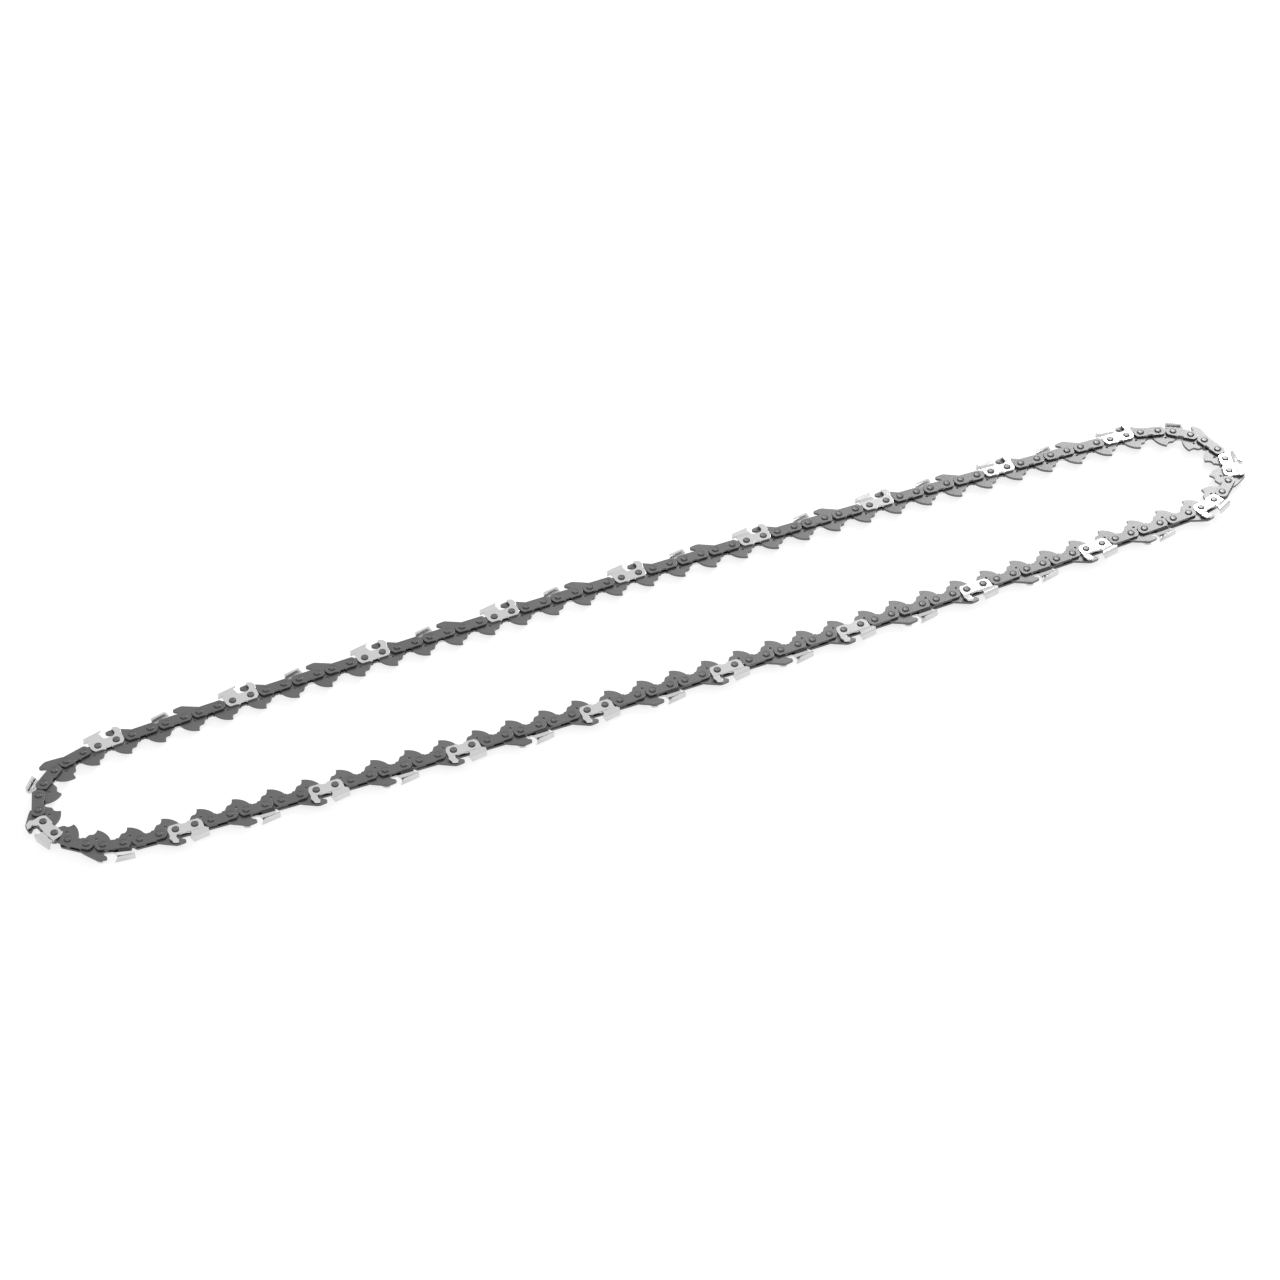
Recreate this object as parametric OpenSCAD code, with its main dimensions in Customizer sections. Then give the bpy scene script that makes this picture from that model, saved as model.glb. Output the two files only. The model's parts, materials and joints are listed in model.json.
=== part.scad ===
// Saw chain, closed into its loop and lying on its side.
// X runs along the two straight runs, Y across the loop, and Z up, along the rivets.
// The origin is the middle of the loop, on the surface that it lies on.
// Every link is drawn in its own frame: the trailing rivet at [0, 0], the leading rivet
// ahead of it on +X, and +Y pointing out of the loop, where the cutters stand.

/* [Links] */
// Rivet spacing of the outer links, the ones with cutters or tie straps
outer_pitch = 8.95; // [8.6:0.05:9.4]
// Rivet spacing of the drive links
drive_pitch = 7.56; // [7.4:0.02:7.9]
// Thickness of a drive link, which is the gauge of the guide bar's groove
gauge = 1.3; // [1.1:0.1:1.6]
// Thickness of the tie straps and the cutters' plates
plate_t = 1.1; // [0.9:0.1:1.3]
// Side play between a drive link and the plate beside it
side_play = 0.05; // [0.03:0.01:0.08]
// Gap between two plates that follow each other over a drive link
end_gap = 0.36; // [0.2:0.02:0.6]
// Half width of a tie strap, from the rivet line to its edge
strap_half = 3.0; // [2.7:0.1:3.3]
// Depth of the notch in the inner edge of a plate
notch_depth = 0.7; // [0.4:0.1:1]
// Width of that notch at its mouth
notch_w = 3.2; // [2.4:0.1:4]

/* [Drive links] */
// Depth of the tang below the rivet line
tang_depth = 9.4; // [9:0.1:9.8]
// Height of the outer edge above the rivet line
drive_top = 2.6; // [2.3:0.1:2.8]
// Height of the bumper's hump above the rivet line
hump_h = 8.0; // [7.6:0.1:8.2]
// How far the hump's nose reaches back past the trailing rivet
nose_reach = 3.0; // [2.6:0.1:3.1]
// Diameter of the oil hole in the tang
oil_hole_d = 1.2; // [0.8:0.1:1.4]
// Distance of the oil hole below the rivet line
oil_hole_drop = 3.9; // [3.7:0.1:4.3]

/* [Rivets] */
// Diameter of the hub that turns in a drive link
hub_d = 3.4; // [3:0.1:3.6]
// Radial play of the hub in its bore
hub_play = 0.05; // [0.03:0.01:0.08]
// Diameter of the shoulders held in the plates
shoulder_d = 2.6; // [2.2:0.1:2.8]
// Diameter of a peened head
head_d = 3.6; // [3.3:0.1:3.9]
// Height of a head above its plate
head_h = 0.5; // [0.3:0.05:0.55]

/* [Cutters] */
// Height of the cutting corner above the rivet line
top_h = 8.3; // [8:0.1:8.8]
// How much lower the top plate's rear end is
top_drop = 1.6; // [1.2:0.1:1.8]
// Reach of the cutting corner ahead of the trailing rivet
top_front = 4.5; // [4.2:0.1:4.8]
// Reach of the top plate behind the trailing rivet
top_rear = 5.0; // [4.6:0.1:5.2]
// Thickness of the top plate
top_t = 1.1; // [0.9:0.1:1.3]
// How far the top plate reaches past the middle of the chain
top_reach = 0.8; // [0.5:0.1:1.1]
// How far the side plate stands out beside the foot
side_flare = 0.9; // [0.7:0.1:1.1]
// Outward lean of the side plate at its upper corner
side_lean = 0.25; // [0.15:0.05:0.35]
// Width of the bevel along the working corner
corner_bevel = 0.9; // [0.6:0.1:1]
// Angle at which the front of the top plate is filed
file_angle = 25; // [20:1:32]
// Undercut of the filed front below the cutting edge
hook_angle = 15; // [10:1:20]
// Height of the depth gauge above the rivet line
raker_h = 7.7; // [7.4:0.1:8]
// How far the depth gauge stands out beside the foot
raker_flare = 0.45; // [0.3:0.05:0.6]
// Diameter of the round file that makes the gullet's rear
file_d = 4.7; // [4.4:0.1:4.8]
// Diameter of the gullet's front end, under the depth gauge
gullet_d = 3.8; // [3.4:0.1:4]
// How deep the gullet cuts into the foot
gullet_bite = 0.1; // [0.1:0.05:0.3]

/* [Loop] */
// Pairs of an outer link and a drive link in half the loop
link_pairs = 39; // [35:2:45]
// Turning of one run along its length, in degrees
run_bow = 6.4; // [2:0.2:8]
// Number of links that share the turn at an end of the loop
turn_links = 15; // [14:1:17]

/* [Hidden] */
$fn = 48;
// Half the thickness inside the plates, then out to their outer faces
inner_z = gauge/2 + side_play;
outer_z = inner_z + plate_t;
// Widest reach of a cutter to its own side, which is what the chain lies on
flare_z = outer_z + side_flare + side_lean;
mid_z = flare_z;
plate_end_r = (drive_pitch - end_gap)/2;
// How much smaller the round ends of a drive link are
drive_end_step = 0.15;
drive_end_r = plate_end_r - drive_end_step;
hub_r = hub_d/2;
shoulder_r = shoulder_d/2;
head_r = head_d/2;
// The shoulders' holes are this much wider all round, before the heads are peened
shoulder_fit = 0.02;
// Width of the slopes beside the notch in a plate, and how far its mouth runs past the edge
notch_slope_w = 0.5;
notch_lip = 0.1;
// The joggle between the foot and the flared part of a cutter: its place, height and bend
joggle_rise = 0.3;
joggle_y = strap_half + joggle_rise;
joggle_h = 1.1;
joggle_bend = 0.15;
// Where the side plate leans outwards, below the working corner
lean_low = 3.0;
lean_high = 2.0;
// How far below the bevel the side plate's own profile ends, inside the top plate's
lap_drop = 0.3;
// The thickening where the side plate meets the top plate
root_t = 0.5;
// The slanted edge of the top plate: depth of its slope, and its two ends along the chain's width
lip_slope = 0.25;
lip_out = 0.1;
lip_in = 0.15;
// The heel behind a cutter's foot: its reach, then the heights where it starts and ends
heel_reach = 0.1;
heel_low = 0.4;
heel_high = 2.4;
// The depth gauge's nose: its roundings, the length of its flat top and of its whole top
nose_under = 0.2;
nose_round = 0.15;
raker_flat = 1.3;
raker_top = 2.7;
// How far the depth gauge's front bulges past the foot, and its waist below that
raker_bulge = 0.5;
raker_waist = 0.1;
top_tilt = atan(top_drop/(top_front + top_rear));
// Middles of the gullet's rear and front ends
file_x = top_front + 0.17*file_d;
file_y = strap_half - gullet_bite + file_d/2;
gullet_x = outer_pitch - 0.28*gullet_d;
gullet_y = strap_half - gullet_bite + gullet_d/2;
raker_tip_x = gullet_x + 0.37*gullet_d;

// The loop: half_links links, then the same path turned half round about the origin.
half_links = 2*link_pairs;
turn_start = half_links - turn_links - 1.5;
// The links of each turn that are nodes of their own, and the link where each run is parted
turn_first = half_links - 13;
turn_last = half_links - 5;
mid_link = 2*floor(0.4*link_pairs) + 1;

function smooth_step(t) = let (u = max(0, min(1, t))) u*u*(3 - 2*u);
function heading(i) =
    i < 0 ? heading(i + half_links) + 180
    : i >= half_links ? heading(i - half_links) - 180
    : run_bow/2 - run_bow*(i + 0.5)/half_links
      - (180 - run_bow)*smooth_step((i - turn_start)/turn_links);
function is_drive(i) = abs(i) % 2 == 1;
function is_bumper(i) = (i + 10) % 4 == 1;
function is_cutter(i) = (i + 10) % 4 == 0;
function link_step(i) = (is_drive(i) ? drive_pitch : outer_pitch)*[cos(heading(i)), sin(heading(i))];
half_path = [for (i = 0, p = [0, 0]; i <= half_links; p = p + link_step(i), i = i + 1) p];
function rivet_at(i) =
    i < 0 ? -rivet_at(i + half_links)
    : i >= half_links ? -rivet_at(i - half_links)
    : half_path[i] - half_path[half_links]/2;
// Cutters face the two sides in turn. Their number is odd, so one side comes twice running.
hand_break = floor((link_pairs - 1)/2) - 1;
function cutter_number(i) = (i + 2)/4;
function cutter_side(i) = (cutter_number(i) <= hand_break) == (cutter_number(i) % 2 == 0) ? 1 : -1;

// The stretches of chain between the turns, as a name, a first link and a last link
runs = [
    ["far_left", turn_last + 1 - half_links, mid_link - 1],
    ["far_right", mid_link, turn_first - 1],
    ["near_right", turn_last + 1, mid_link - 1 + half_links],
    ["near_left", mid_link + half_links, turn_first - 1 + half_links]
];
// The links of each turn, as a name and the number of the link before the first
turns = [["right_turn", turn_first - 1], ["left_turn", turn_first - 1 + half_links]];
turn_count = turn_last - turn_first + 1;

run_parts = ["drive_links", "bumper_links", "upper_cutters", "lower_cutters", "tie_straps", "rivets"];
function turn_parts(i) =
    is_drive(i) ? [is_bumper(i) ? "bumper_link" : "drive_link"]
    : [is_cutter(i) ? "cutter" : "tie_strap_a", is_cutter(i) ? "tie_strap" : "tie_strap_b", "rivets"];
function run_node(run, part) = str(run[0], "_", part);
function turn_node(turn, n, part) = str(turn[0], "_", n, "_", part);

steel_dark = [0.42, 0.42, 0.43];
steel_plated = [0.88, 0.88, 0.89];

module at_link(i) {
    translate([rivet_at(i).x, rivet_at(i).y, mid_z]) rotate(heading(i)) children();
}

// Extrudes an outline drawn across the chain, as [height, side], along the link
module along_link(x0, x1) {
    translate([x0, 0, 0]) rotate([90, 0, 90]) linear_extrude(x1 - x0) children();
}

// Band with round ends about two rivets, cut off flat at a lower and an upper height
module link_band(pitch, end_r, low, high) {
    intersection() {
        union() {
            circle(end_r);
            translate([pitch, 0]) circle(end_r);
            translate([0, -end_r]) square([pitch, 2*end_r]);
        }
        translate([-end_r, low]) square([pitch + 2*end_r, high - low]);
    }
}

// Tang: a curved trailing flank, a blunt point, and a hook and a shelf up its leading flank
module tang_outline() {
    p = drive_pitch;
    d = tang_depth;
    flank = [for (a = [206:8.5:257]) [0.78*p + d*cos(a), (sin(a) - 0.025)*d]];
    lead = [
        [0.56*p, -d],
        [0.57*p, -0.94*d],
        [0.6*p, -0.85*d],
        [0.68*p, -0.745*d],
        [0.76*p, -0.7*d],
        [0.94*p, -0.69*d],
        [1.01*p, -0.645*d],
        [1.1*p, -0.54*d],
        [1.19*p, -0.43*d],
        [1.31*p, -0.38*d]
    ];
    hip = 0.8*drive_end_r;
    polygon(concat([[0, 0], [-hip, -0.75*hip]], flank, lead, [[p + hip, -0.75*hip], [p, 0]]));
}

// Hump of a bumper link: its nose points back, and its back slopes down ahead
module hump_outline() {
    n = nose_reach;
    h = hump_h;
    p = drive_pitch;
    polygon([
        [-0.4*n, 0.05*h],
        [-0.3*n, 0.55*h],
        [-0.45*n, 0.65*h],
        [-0.87*n, 0.75*h],
        [-n, 0.84*h],
        [-0.93*n, 0.92*h],
        [-0.75*n, 0.955*h],
        [0.05*p, h],
        [0.2*p, 0.995*h],
        [0.28*p, 0.97*h],
        [1.08*p, 0.56*h],
        [1.29*p, drive_top + 0.09*h],
        [1.28*p, drive_top - 0.05*h],
        [p, 0.05*h]
    ]);
}

module drive_link(bumper) {
    translate([0, 0, -gauge/2]) difference() {
        union() {
            linear_extrude(gauge) link_band(drive_pitch, drive_end_r, -drive_end_r, drive_top);
            linear_extrude(gauge) tang_outline();
            if (bumper) linear_extrude(gauge) hump_outline();
        }
        for (x = [0, drive_pitch])
            translate([x, 0, -1]) cylinder(r = hub_r + hub_play, h = gauge + 2);
        translate([0.49*drive_pitch, -oil_hole_drop, -1]) cylinder(d = oil_hole_d, h = gauge + 2);
    }
}

// Flat outline shared by the tie straps and the cutters' feet
module plate_outline() {
    difference() {
        link_band(outer_pitch, plate_end_r, -strap_half, strap_half);
        translate([outer_pitch/2, -strap_half]) polygon([
            [-notch_w/2, -notch_lip],
            [-notch_w/2 + notch_slope_w, notch_depth],
            [notch_w/2 - notch_slope_w, notch_depth],
            [notch_w/2, -notch_lip]
        ]);
    }
}

module shoulder_holes() {
    for (x = [0, outer_pitch]) translate([x, 0]) circle(shoulder_r + shoulder_fit);
}

module tie_strap(side) {
    translate([0, 0, side > 0 ? inner_z : -outer_z]) linear_extrude(plate_t) difference() {
        plate_outline();
        shoulder_holes();
    }
}

module rivet() {
    top_z = outer_z + head_h;
    rotate_extrude() polygon([
        [0, -top_z],
        [0.55*head_r, -top_z],
        [0.9*head_r, -outer_z - 0.6*head_h],
        [head_r, -outer_z],
        [shoulder_r, -outer_z],
        [shoulder_r, -inner_z],
        [hub_r, -inner_z],
        [hub_r, inner_z],
        [shoulder_r, inner_z],
        [shoulder_r, outer_z],
        [head_r, outer_z],
        [0.9*head_r, outer_z + 0.6*head_h],
        [0.55*head_r, top_z],
        [0, top_z]
    ]);
}

module rivet_pair() {
    for (x = [0, outer_pitch]) translate([x, 0, 0]) rivet();
}

// A cutter's plate across the chain: flat foot, joggle, then a flat that stands out by flare
module plate_section(flare) {
    polygon([
        [-strap_half, inner_z],
        [joggle_y, inner_z],
        [joggle_y + joggle_h, inner_z + flare],
        [top_h, inner_z + flare],
        [top_h, outer_z + flare],
        [joggle_y + joggle_h - joggle_bend, outer_z + flare],
        [joggle_y - joggle_bend, outer_z],
        [-strap_half, outer_z]
    ]);
}

// The upper side plate, the bevelled working corner and the top plate, from the corner down
module top_section() {
    corner_z = outer_z + side_flare + side_lean;
    polygon([
        [-lean_low, outer_z + side_flare],
        [-lean_high, corner_z],
        [-corner_bevel, corner_z],
        [0, corner_z - corner_bevel],
        [0, -top_reach],
        [-lip_slope, -top_reach - lip_out],
        [-top_t, -top_reach + lip_in],
        [-top_t, inner_z + side_flare - root_t],
        [-top_t - root_t, inner_z + side_flare],
        [-lean_low, inner_z + side_flare]
    ]);
}

// Seen from the side: everything behind the gullet, up to a height at the front end
module rear_outline(front_y) {
    polygon([
        [-plate_end_r, 0],
        [-plate_end_r - heel_reach, strap_half + heel_low],
        [-top_rear, strap_half + heel_high],
        [-top_rear, front_y - top_drop],
        [top_front, front_y],
        [file_x, front_y],
        [file_x, 0]
    ]);
}

// Seen from the side: the depth gauge, whose tip hooks back over the gullet
module raker_outline() {
    polygon([
        [gullet_x, 0],
        [gullet_x, gullet_y],
        [gullet_x + 0.47*gullet_d, gullet_y + 0.13*gullet_d],
        [raker_tip_x + nose_under, 0.81*raker_h],
        [raker_tip_x, 0.91*raker_h],
        [raker_tip_x + nose_round, raker_h],
        [raker_tip_x + raker_flat, 0.99*raker_h],
        [raker_tip_x + raker_top, 0.91*raker_h],
        [outer_pitch + plate_end_r + raker_bulge, 0.62*raker_h],
        [outer_pitch + plate_end_r - raker_waist, strap_half],
        [outer_pitch + plate_end_r, 0]
    ]);
}

// Round at the rear, where the file ran, and at the front, and open above
module gullet_outline() {
    hull() {
        translate([file_x, file_y]) circle(d = file_d);
        translate([gullet_x, gullet_y]) circle(d = gullet_d);
    }
    translate([file_x, file_y]) square([gullet_x - file_x, top_h]);
}

module cutter_blank() {
    reach = outer_pitch + plate_end_r + 2;
    intersection() {
        along_link(-top_rear - 1, file_x) plate_section(side_flare);
        linear_extrude(2*flare_z) union() {
            plate_outline();
            rear_outline(top_h - corner_bevel - lap_drop);
        }
    }
    intersection() {
        along_link(file_x - 1, reach) plate_section(raker_flare);
        linear_extrude(2*flare_z) union() {
            plate_outline();
            raker_outline();
        }
    }
    intersection() {
        translate([-top_rear, top_h - top_drop, 0])
            rotate(top_tilt) along_link(-1, reach) top_section();
        translate([0, 0, -flare_z]) linear_extrude(3*flare_z) rear_outline(top_h + 2*top_drop);
    }
}

module cutter(side) {
    mirror([0, 0, side > 0 ? 0 : 1]) difference() {
        cutter_blank();
        translate([0, 0, -flare_z]) linear_extrude(3*flare_z) gullet_outline();
        translate([0, 0, inner_z - 1]) linear_extrude(plate_t + 2) shoulder_holes();
        // The filed front of the top plate
        translate([top_front, top_h, flare_z]) rotate([0, file_angle, 0]) rotate(-hook_angle)
            translate([0, -0.3*top_h, -2*flare_z]) cube([file_d, 0.5*top_h, 4*flare_z]);
    }
}

module drive_links(first, last, bumper) {
    color(steel_dark) for (i = [first:last])
        if (is_drive(i) && is_bumper(i) == bumper) at_link(i) drive_link(bumper);
}

module cutters(first, last, side) {
    color(steel_plated) for (i = [first:last])
        if (is_cutter(i) && cutter_side(i) == side) at_link(i) cutter(side);
}

// The tie straps of every outer link: both sides, or the side that has no cutter
module tie_straps(first, last) {
    color(steel_dark) for (i = [first:last])
        if (!is_drive(i)) at_link(i) for (side = [-1, 1])
            if (!is_cutter(i) || cutter_side(i) != side) tie_strap(side);
}

module rivets(first, last) {
    color(steel_dark) for (i = [first:last]) if (!is_drive(i)) at_link(i) rivet_pair();
}

module run_part(part, first, last) {
    if (part == "drive_links") drive_links(first, last, false);
    if (part == "bumper_links") drive_links(first, last, true);
    if (part == "upper_cutters") cutters(first, last, 1);
    if (part == "lower_cutters") cutters(first, last, -1);
    if (part == "tie_straps") tie_straps(first, last);
    if (part == "rivets") rivets(first, last);
}

module turn_part(part, i) {
    if (part == "drive_link") drive_links(i, i, false);
    if (part == "bumper_link") drive_links(i, i, true);
    if (part == "cutter") cutters(i, i, cutter_side(i));
    if (part == "tie_strap") tie_straps(i, i);
    if (part == "tie_strap_a") color(steel_dark) at_link(i) tie_strap(1);
    if (part == "tie_strap_b") color(steel_dark) at_link(i) tie_strap(-1);
    if (part == "rivets") rivets(i, i);
}

for (run = runs) for (part = run_parts)
    run_part(part, run[1], run[2]);
for (turn = turns) for (n = [1:turn_count]) for (part = turn_parts(turn[1] + n))
    turn_part(part, turn[1] + n);
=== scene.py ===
"""Saw chain, closed into its loop and lying on its side on a white floor.

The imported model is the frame. Every plate, rivet and cutter of it is dressed here: the plates get
rounded edges with a worn rim, the cutters their filed faces, and the rivets turned, peened heads.
"""

import json
import math

import bpy
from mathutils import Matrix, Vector

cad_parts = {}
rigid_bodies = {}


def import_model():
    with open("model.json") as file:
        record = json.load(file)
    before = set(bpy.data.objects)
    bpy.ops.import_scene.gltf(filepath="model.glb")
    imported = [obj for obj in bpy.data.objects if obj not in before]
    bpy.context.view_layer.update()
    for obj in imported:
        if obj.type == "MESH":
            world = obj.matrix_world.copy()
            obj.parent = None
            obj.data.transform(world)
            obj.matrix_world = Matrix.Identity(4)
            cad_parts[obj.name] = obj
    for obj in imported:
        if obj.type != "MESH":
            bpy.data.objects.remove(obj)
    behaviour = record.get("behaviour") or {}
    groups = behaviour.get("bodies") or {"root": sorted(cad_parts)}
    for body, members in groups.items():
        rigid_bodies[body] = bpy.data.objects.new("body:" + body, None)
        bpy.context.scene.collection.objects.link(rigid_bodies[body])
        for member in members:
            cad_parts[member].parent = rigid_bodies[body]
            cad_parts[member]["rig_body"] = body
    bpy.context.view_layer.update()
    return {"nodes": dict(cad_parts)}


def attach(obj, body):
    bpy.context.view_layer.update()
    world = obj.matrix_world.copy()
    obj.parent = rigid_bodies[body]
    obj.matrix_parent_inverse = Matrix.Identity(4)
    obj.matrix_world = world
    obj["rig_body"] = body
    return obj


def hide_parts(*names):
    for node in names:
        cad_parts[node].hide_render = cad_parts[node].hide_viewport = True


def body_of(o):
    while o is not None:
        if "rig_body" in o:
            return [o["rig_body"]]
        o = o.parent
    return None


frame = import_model()

MM = 0.001

# Camera: in front and to the left, half way up
LENS = 99.0
VIEW_AZIMUTH = math.radians(-22.81)
VIEW_ELEVATION = math.radians(44.94)
VIEW_DISTANCE = 1.662
VIEW_TARGET = Vector((-13.3, -5.4, 5.0)) * MM
NEAREST_SEEN = 0.05
FARTHEST_SEEN = 30.0

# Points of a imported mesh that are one, and triangles that are one flat face
SAME_POINT = 0.001 * MM
SAME_FACE = math.radians(1)

# Rounded edges of the pieces
LINK_EDGE = 0.12 * MM
STRAP_EDGE = 0.12 * MM
CUTTER_EDGE = 0.1 * MM
EDGE_ANGLE = math.radians(28)
EDGE_STEPS = 2
SMOOTH_ANGLE = math.radians(32)
FLAT_FACE_WEIGHT = 100

# Places of the second and third finish in a piece's list of materials
RIM = 1
FILED_FRONT = 2
BUTTON = 1

# The filed front of a cutter is the only face that leans this much towards the side
FILED_LEAN = (0.36, 0.46)

# Rivets: radii are shares of the head's
RIVET_SIDES = 20
HEAD_HEIGHT = 0.5 * MM
HUB_HALF = 0.7 * MM
HUB_SHARE = 0.94
SHOULDER_SHARE = 0.72
# Outside this share the head takes a darker steel, which is painted shade round the lighter button
BUTTON_SHARE = 0.72
# A head from its rim to its middle, as shares of its radius and of its height above the plate
HEAD_PROFILE = (
    (1.0, 0.0),
    (1.0, 0.3),
    (0.9, 0.5),
    (BUTTON_SHARE + 0.08, 0.35),
    (BUTTON_SHARE, 0.8),
    (BUTTON_SHARE - 0.1, 1.0),
    (0.3, 0.9),
)

# Mottling of a finished metal: its cells in a metre, and the part of it that becomes 0 to 1
PATCH_CELLS = 55.0
SCRATCH_CELLS = 260.0
SCRATCH_STRETCH = (1, 9, 9)
MOTTLE_SPREAD = (0.3, 0.7)
SCRATCH_SPREAD = (0.52, 0.75)
# How much patches, grain and scratches count in the colour, the roughness and the relief
PATCH_TONE, GRAIN_TONE, SCRATCH_TONE = 0.45, 0.35, 0.2
PATCH_ROUGHNESS, GRAIN_ROUGHNESS = 0.4, 0.6
GRAIN_RELIEF, SCRATCH_RELIEF = 0.7, 0.3
RELIEF_STRENGTH = 0.6
# Finishes: cells of the fine grain in a metre, and depth of the unevenness
TUMBLED = (2600.0, 0.002 * MM)
TURNED = (3000.0, 0.002 * MM)
PLATED = (2000.0, 0.001 * MM)

# The strokes that a file leaves
STROKE_CELLS = 700.0
STROKE_STRETCH = (0.3, 0.3, 4)
STROKE_SPREAD = (0.35, 0.65)
STROKE_DEPTH = 0.008 * MM
STROKE_STRENGTH = 0.5

# The white surroundings
SKY_LIGHT = 0.55
FLOOR_GLOW = 0.74
FLOOR_GREY = 0.48
FLOOR_SIZE = 14
FLOOR_DROP = 0.1 * MM

# Soft square lamps: name, place, side in metres, power in watts
LAMPS = (
    ("key", (1.36, 0.96, 1.1), 0.75, 25.0),
    ("fill", (-0.9, -0.9, 1.4), 1.2, 1.5),
)


def select_only(obj):
    """Makes obj the active object and the only one selected."""
    bpy.ops.object.select_all(action="DESELECT")
    obj.select_set(True)
    bpy.context.view_layer.objects.active = obj


def finish_shading(obj):
    """Smooth shading, with the sharp corners kept and the large faces flat."""
    select_only(obj)
    bpy.ops.object.shade_smooth_by_angle(angle=SMOOTH_ANGLE)
    weights = obj.modifiers.new("flat_faces", "WEIGHTED_NORMAL")
    weights.mode = "FACE_AREA"
    weights.weight = FLAT_FACE_WEIGHT
    weights.keep_sharp = True
    bpy.ops.object.modifier_apply(modifier=weights.name)


def merged_copy(node, name):
    """A copy of a CAD node's mesh as an object of its own, its triangles joined into clean faces."""
    obj = bpy.data.objects.new(name, frame["nodes"][node].data.copy())
    bpy.context.scene.collection.objects.link(obj)
    obj.data.materials.clear()
    select_only(obj)
    bpy.ops.object.mode_set(mode="EDIT")
    bpy.ops.mesh.select_all(action="SELECT")
    bpy.ops.mesh.remove_doubles(threshold=SAME_POINT)
    bpy.ops.mesh.dissolve_limited(angle_limit=SAME_FACE)
    bpy.ops.object.mode_set(mode="OBJECT")
    return obj


def round_edges(obj, width):
    """Rounds every corner of obj. The faces that this adds take its second material."""
    select_only(obj)
    bevel = obj.modifiers.new("rounded_edges", "BEVEL")
    bevel.limit_method = "ANGLE"
    bevel.angle_limit = EDGE_ANGLE
    bevel.width = width
    bevel.segments = EDGE_STEPS
    bevel.use_clamp_overlap = False
    bevel.material = RIM
    bpy.ops.object.modifier_apply(modifier=bevel.name)
    finish_shading(obj)


def stand_for(obj, node):
    """obj takes the place of a CAD node, on the same body."""
    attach(obj, body_of(frame["nodes"][node])[0])
    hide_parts(node)


class Value:
    """A socket of a shader, on which Python's own operators work by adding Math nodes."""

    def __init__(self, shader, socket):
        self.shader = shader
        self.socket = socket

    def math(self, operation, *terms):
        return self.shader.node("Math", {"operation": operation}, dict(enumerate(terms)))

    def __add__(self, other):
        return self.math("ADD", self, other)

    def __sub__(self, other):
        return self.math("SUBTRACT", self, other)

    def __rsub__(self, other):
        return self.math("SUBTRACT", other, self)

    def __mul__(self, other):
        return self.math("MULTIPLY", self, other)

    __radd__ = __add__
    __rmul__ = __mul__


class Shader:
    """The node tree of a material or of the world."""

    def __init__(self, tree):
        self.tree = tree
        tree.nodes.clear()

    def node(self, kind, settings, sockets, output=0):
        """Adds a node: first its settings, then the values or links of its sockets.

        A socket goes by its name, or by its number among those that are in use.
        """
        made = self.tree.nodes.new("ShaderNode" + kind)
        for name, setting in settings.items():
            setattr(made, name, setting)
        for name, value in sockets.items():
            live = [socket for socket in made.inputs if socket.enabled]
            if isinstance(name, int):
                socket = live[name]
            else:
                socket = next(s for s in live if s.name == name)
            if isinstance(value, Value):
                self.tree.links.new(value.socket, socket)
            else:
                socket.default_value = value
        return Value(self, made.outputs[output]) if made.outputs else None

    def place(self, stretch):
        """The place on the piece, in metres, stretched along its axes."""
        here = self.node("TexCoord", {}, {}, output="Object")
        return self.node("Mapping", {}, {"Vector": here, "Scale": stretch})

    def noise(self, cells, detail=3.0, stretch=(1, 1, 1)):
        """Mottling from 0 to 1, with so many cells in a metre."""
        return self.node(
            "TexNoise", {}, {"Vector": self.place(stretch), "Scale": cells, "Detail": detail}
        )

    def spread(self, value, low, high):
        """Stretches value so that low becomes 0 and high becomes 1."""
        return self.node("MapRange", {}, {"Value": value, "From Min": low, "From Max": high})

    def blend(self, mask, greys):
        """The first grey where the mask is 0 and the second where it is 1."""
        first, second = greys
        return self.node(
            "Mix",
            {"data_type": "RGBA"},
            {"Factor": mask, "A": grey(first), "B": grey(second)},
            output=2,
        )

    def bare_metal(self, colour, roughness, bump):
        """Ends a material as metal with nothing over it."""
        surface = self.node(
            "BsdfPrincipled",
            {},
            {"Base Color": colour, "Metallic": 1.0, "Roughness": roughness, "Normal": bump},
        )
        self.node("OutputMaterial", {}, {"Surface": surface})

    def seen_directly(self):
        """1 for what the camera sees, itself or in metal, and 0 for light on diffuse things."""
        kinds = ("Is Camera Ray", "Is Glossy Ray", "Is Transmission Ray")
        return sum(self.node("LightPath", {}, {}, output=kind) for kind in kinds)


def grey(level):
    """A neutral colour."""
    return (level, level, level, 1.0)


def new_material(name):
    """A material and its empty shader."""
    material = bpy.data.materials.new(name)
    material.use_nodes = True
    return material, Shader(material.node_tree)


def metal(name, greys, roughness, finish):
    """A finished metal: its colour runs from dark to light in patches and in a fine grain.

    greys holds the darkest and the lightest, and roughness the smoothest and the roughest.
    """
    material, shader = new_material(name)
    grain_cells, depth = finish
    smoothest, roughest = roughness
    patches = shader.spread(shader.noise(PATCH_CELLS), *MOTTLE_SPREAD)
    grain = shader.spread(shader.noise(grain_cells, detail=5.0), *MOTTLE_SPREAD)
    scratches = shader.spread(
        shader.noise(SCRATCH_CELLS, detail=4.0, stretch=SCRATCH_STRETCH), *SCRATCH_SPREAD
    )
    tone = patches * PATCH_TONE + grain * GRAIN_TONE + scratches * SCRATCH_TONE
    rough = patches * PATCH_ROUGHNESS + grain * GRAIN_ROUGHNESS
    relief = grain * GRAIN_RELIEF + scratches * SCRATCH_RELIEF
    bump = shader.node(
        "Bump", {}, {"Strength": RELIEF_STRENGTH, "Distance": depth, "Height": relief}
    )
    shader.bare_metal(
        shader.blend(tone, greys), rough * (roughest - smoothest) + smoothest, bump
    )
    return material


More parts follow.
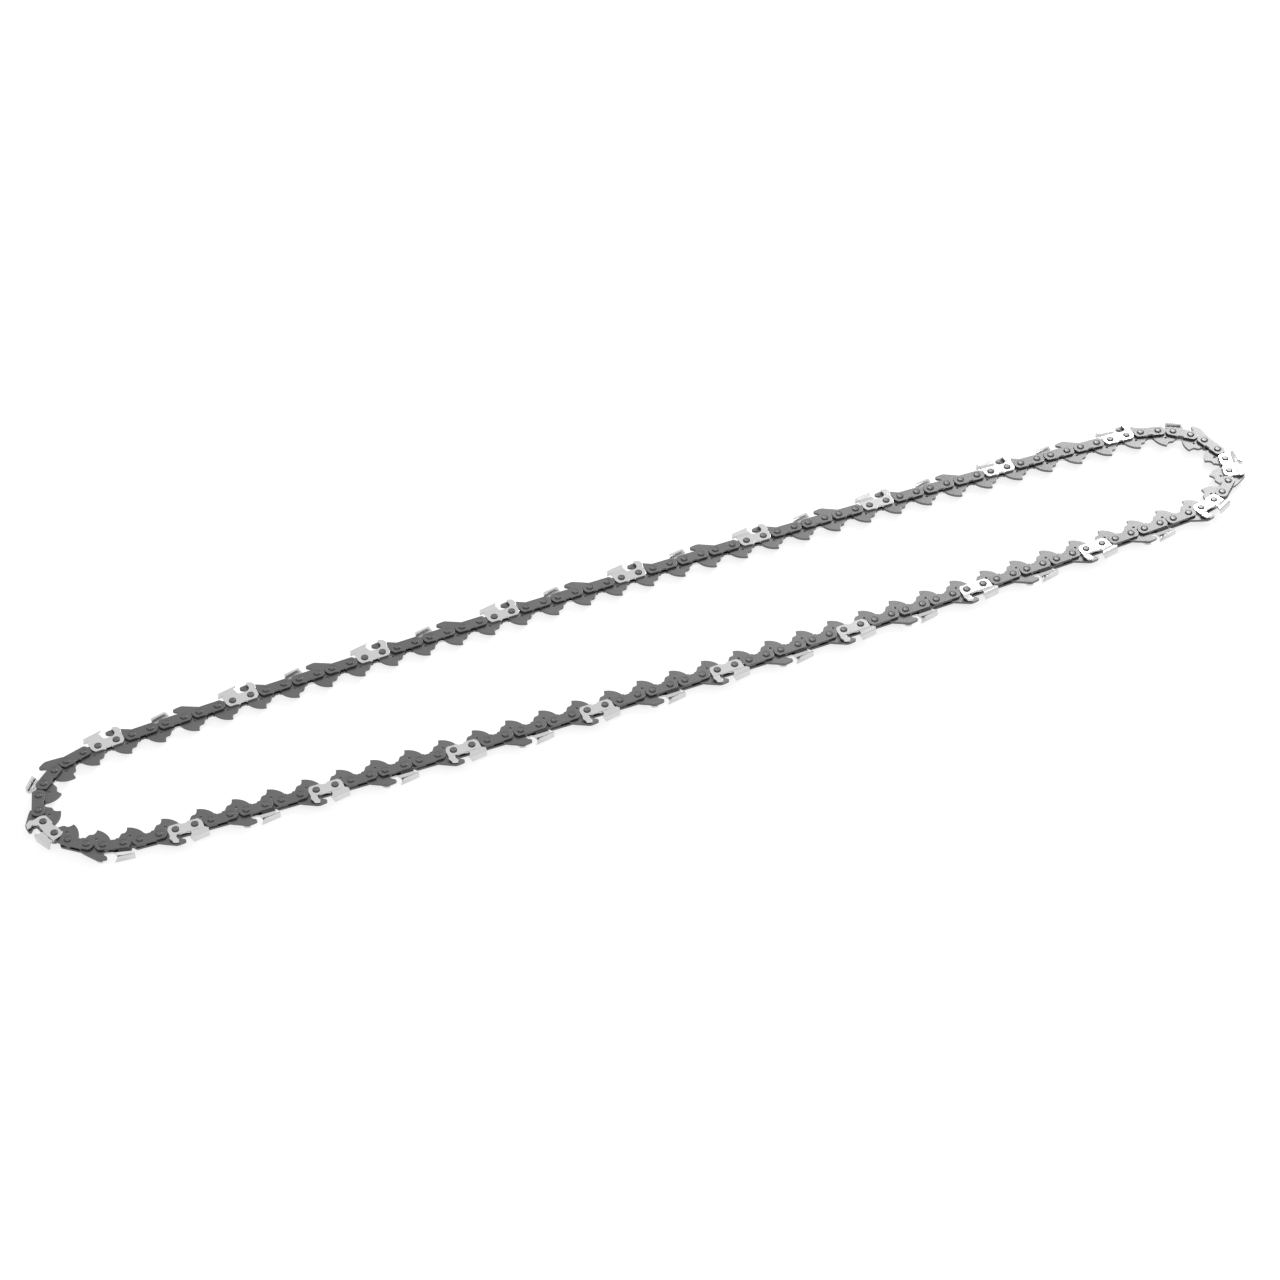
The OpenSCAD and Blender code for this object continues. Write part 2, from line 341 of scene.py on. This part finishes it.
def filed_metal(name, greys, roughness):
    """Bare steel with the fine strokes that a file leaves."""
    material, shader = new_material(name)
    smoothest, roughest = roughness
    strokes = shader.noise(STROKE_CELLS, detail=2.0, stretch=STROKE_STRETCH)
    bump = shader.node(
        "Bump", {}, {"Strength": STROKE_STRENGTH, "Distance": STROKE_DEPTH, "Height": strokes}
    )
    shader.bare_metal(
        shader.blend(shader.spread(strokes, *STROKE_SPREAD), greys),
        strokes * (roughest - smoothest) + smoothest,
        bump,
    )
    return material


# Name, darkest and lightest grey, smoothest and roughest, finish
drive_steel = metal("drive_link_steel", (0.135, 0.165), (0.38, 0.43), TUMBLED)
strap_steel = metal("strap_steel", (0.13, 0.16), (0.38, 0.43), TUMBLED)
worn_steel = metal("worn_edge_steel", (0.14, 0.19), (0.34, 0.4), TUMBLED)
# The rivets' darker steel is painted shade: it darkens the rim and the sunk ring of each head round
# its lighter button
rivet_steel = metal("rivet_steel", (0.07, 0.1), (0.4, 0.46), TURNED)
peened_steel = metal("peened_steel", (0.13, 0.16), (0.36, 0.42), TURNED)
plating = metal("cutter_plating", (0.58, 0.64), (0.18, 0.24), PLATED)
plated_edge = metal("plated_edge", (0.6, 0.68), (0.16, 0.22), PLATED)
filed_steel = filed_metal("filed_steel", (0.55, 0.75), (0.2, 0.35))


def dress_plates(node, width, steel):
    """Drive links and tie straps: tumbled plates with rounded, worn rims."""
    obj = merged_copy(node, "dressed_" + node)
    for material in (steel, worn_steel):
        obj.data.materials.append(material)
    round_edges(obj, width)
    stand_for(obj, node)


def dress_cutters(node):
    """Cutters: plated, with a narrow bright rim and a filed front under the cutting edge."""
    obj = merged_copy(node, "dressed_" + node)
    for material in (plating, plated_edge, filed_steel):
        obj.data.materials.append(material)
    for face in obj.data.polygons:
        if FILED_LEAN[0] < abs(face.normal.z) < FILED_LEAN[1]:
            face.material_index = FILED_FRONT
    round_edges(obj, CUTTER_EDGE)
    stand_for(obj, node)


def turned_rivet(radius, half_height):
    """One rivet about the origin: hub, shoulders, and heads with a sunk ring round a button."""
    plate_face = half_height - HEAD_HEIGHT
    rings = [
        (HUB_SHARE, 0.0),
        (HUB_SHARE, HUB_HALF),
        (SHOULDER_SHARE, HUB_HALF),
        (SHOULDER_SHARE, plate_face),
    ]
    rings += [(share, plate_face + rise * HEAD_HEIGHT) for share, rise in HEAD_PROFILE]
    bpy.ops.object.select_all(action="DESELECT")
    bpy.ops.mesh.primitive_circle_add(vertices=RIVET_SIDES, radius=radius * HUB_SHARE)
    rivet = bpy.context.active_object
    bpy.ops.object.mode_set(mode="EDIT")
    bpy.ops.mesh.select_all(action="SELECT")
    for (share, height), (last_share, last_height) in zip(rings[1:], rings):
        bpy.ops.mesh.extrude_edges_move(
            TRANSFORM_OT_translate={"value": (0, 0, height - last_height)}
        )
        grow = share / last_share
        bpy.ops.transform.resize(value=(grow, grow, 1), center_override=(0, 0, height))
    bpy.ops.mesh.edge_face_add()
    bpy.ops.object.mode_set(mode="OBJECT")
    mirror = rivet.modifiers.new("other_head", "MIRROR")
    mirror.use_axis = (False, False, True)
    bpy.ops.object.modifier_apply(modifier=mirror.name)
    bpy.ops.object.mode_set(mode="EDIT")
    bpy.ops.mesh.select_all(action="SELECT")
    bpy.ops.mesh.remove_doubles(threshold=SAME_POINT)
    bpy.ops.mesh.normals_make_consistent(inside=False)
    bpy.ops.object.mode_set(mode="OBJECT")
    # All but the button takes the darker steel, painted shade round the head's rim; the button takes
    # the peened steel
    for material in (rivet_steel, peened_steel):
        rivet.data.materials.append(material)
    for face in rivet.data.polygons:
        if face.center.xy.length < BUTTON_SHARE * radius and abs(face.center.z) > plate_face:
            face.material_index = BUTTON
    finish_shading(rivet)
    return rivet


def loose_boxes(node):
    """The centre and the size of each separate solid of a CAD node."""
    merged_copy(node, "solids_of_" + node)
    bpy.ops.mesh.separate(type="LOOSE")
    parts = list(bpy.context.selected_objects)
    boxes = []
    for part in parts:
        corners = [Vector(corner) for corner in part.bound_box]
        boxes.append(((corners[0] + corners[6]) / 2, corners[6] - corners[0]))
    for part in parts:
        bpy.data.objects.remove(part)
    return boxes


def dress_rivets(node):
    """A turned rivet in the place of each of the node's."""
    boxes = loose_boxes(node)
    size = boxes[0][1]
    pattern = turned_rivet(size.x / 2, size.z / 2)
    copies = []
    for centre, _ in boxes:
        copy = bpy.data.objects.new("rivet", pattern.data.copy())
        copy.location = centre
        bpy.context.scene.collection.objects.link(copy)
        copies.append(copy)
    bpy.data.objects.remove(pattern)
    select_only(copies[0])
    for copy in copies:
        copy.select_set(True)
    bpy.ops.object.transform_apply(location=True)
    bpy.ops.object.join()
    obj = bpy.context.active_object
    obj.name = "dressed_" + node
    stand_for(obj, node)


def dress(node):
    """Dresses a CAD node by what its name says it holds."""
    if "cutter" in node:
        dress_cutters(node)
    elif "rivets" in node:
        dress_rivets(node)
    elif "tie_strap" in node:
        dress_plates(node, STRAP_EDGE, strap_steel)
    else:
        dress_plates(node, LINK_EDGE, drive_steel)


def add_camera():
    camera = bpy.data.objects.new("camera", bpy.data.cameras.new("camera"))
    bpy.context.scene.collection.objects.link(camera)
    camera.data.lens = LENS
    camera.data.clip_start = NEAREST_SEEN
    camera.data.clip_end = FARTHEST_SEEN
    flat = math.cos(VIEW_ELEVATION)
    back = Vector((
        math.sin(VIEW_AZIMUTH) * flat,
        -math.cos(VIEW_AZIMUTH) * flat,
        math.sin(VIEW_ELEVATION),
    ))
    camera.location = VIEW_TARGET + back * VIEW_DISTANCE
    camera.rotation_mode = "QUATERNION"
    camera.rotation_quaternion = (-back).to_track_quat("-Z", "Y")
    bpy.context.scene.camera = camera


def add_lamp(name, place, side, power):
    """A soft square lamp that shines at the middle of the loop."""
    lamp = bpy.data.objects.new(name, bpy.data.lights.new(name, "AREA"))
    lamp.data.size = side
    lamp.data.energy = power
    lamp.location = place
    lamp.rotation_mode = "QUATERNION"
    lamp.rotation_quaternion = (-Vector(place)).to_track_quat("-Z", "Y")
    bpy.context.scene.collection.objects.link(lamp)


def add_surroundings():
    """A white studio, and a white floor that keeps a soft shadow."""
    world = bpy.data.worlds.new("studio")
    world.use_nodes = True
    bpy.context.scene.world = world
    shader = Shader(world.node_tree)
    seen = shader.seen_directly()
    strength = seen + (1 - seen) * SKY_LIGHT
    sky = shader.node("Background", {}, {"Color": grey(1), "Strength": strength})
    shader.node("OutputWorld", {}, {"Surface": sky})

    bpy.ops.object.select_all(action="DESELECT")
    bpy.ops.mesh.primitive_plane_add(size=FLOOR_SIZE, location=(0, 0, -FLOOR_DROP))
    floor = bpy.context.active_object
    floor.name = "floor"
    paint, shader = new_material("floor_paint")
    paper = shader.node("BsdfDiffuse", {}, {"Color": grey(FLOOR_GREY)})
    glow = shader.node("Emission", {}, {"Strength": shader.seen_directly() * FLOOR_GLOW})
    both = shader.node("AddShader", {}, {0: paper, 1: glow})
    shader.node("OutputMaterial", {}, {"Surface": both})
    floor.data.materials.append(paint)


add_camera()
for node in list(frame["nodes"]):
    dress(node)
add_surroundings()
for lamp in LAMPS:
    add_lamp(*lamp)

bpy.context.scene.view_settings.view_transform = "Standard"
